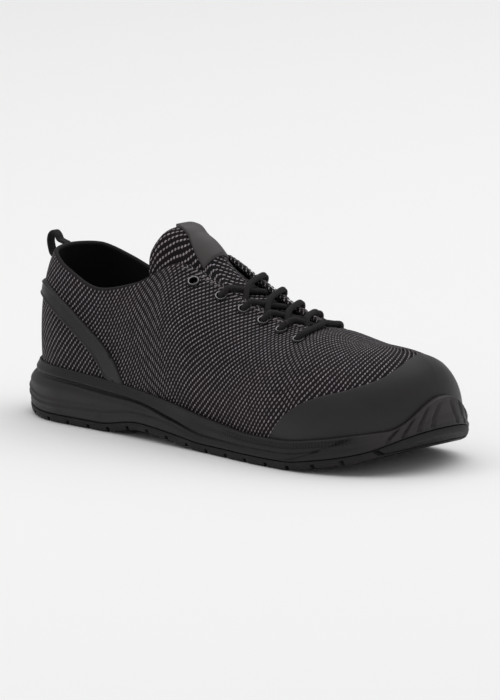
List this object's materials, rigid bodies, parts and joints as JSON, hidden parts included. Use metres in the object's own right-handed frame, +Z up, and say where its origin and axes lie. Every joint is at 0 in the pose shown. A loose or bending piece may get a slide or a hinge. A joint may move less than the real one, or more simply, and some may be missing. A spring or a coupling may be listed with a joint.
{
  "type": "safety sneaker",
  "caption": "Low right-foot safety sneaker with a knitted upper, film toe guard, heel strap, laces, pull loop and moulded sole.",
  "frame": {"origin": "on the floor under the middle of the sole's outline", "axes": "+X towards the toe, +Y towards the medial side, which is the wearer's left, +Z up"},
  "size_m": [0.302, 0.1086, 0.1192],
  "materials": {
    "knit_textile": "matte knit, light grey dashes over black",
    "bonded_film": "smooth matte film",
    "moulded_foam": "satin moulded polyurethane foam",
    "tread_rubber": "matte rubber",
    "insole_foam": "brushed textile over foam",
    "woven_cord": "round woven cord",
    "woven_webbing": "narrow woven webbing",
    "enamelled_metal": "dark satin enamel with a worn bright rim"
  },
  "bodies": {
    "root": {"outsole": "tread_rubber", "midsole": "moulded_foam", "insole": "insole_foam", "upper": "knit_textile", "tongue": "knit_textile", "tongue_patch": "bonded_film", "toe_guard": "bonded_film", "heel_strap": "bonded_film", "heel_strip": "bonded_film", "pull_loop": "woven_webbing", "eyelet_lateral_1": "enamelled_metal", "eyelet_lateral_2": "enamelled_metal", "eyelet_lateral_3": "enamelled_metal", "eyelet_lateral_4": "enamelled_metal", "eyelet_lateral_5": "enamelled_metal", "eyelet_lateral_6": "enamelled_metal", "eyelet_medial_1": "enamelled_metal", "eyelet_medial_2": "enamelled_metal", "eyelet_medial_3": "enamelled_metal", "eyelet_medial_4": "enamelled_metal", "eyelet_medial_5": "enamelled_metal", "eyelet_medial_6": "enamelled_metal", "lace_row_2": "woven_cord", "lace_row_3": "woven_cord", "lace_row_4": "woven_cord", "lace_row_5": "woven_cord", "lace_row_6": "woven_cord"}
  },
  "joints": []
}
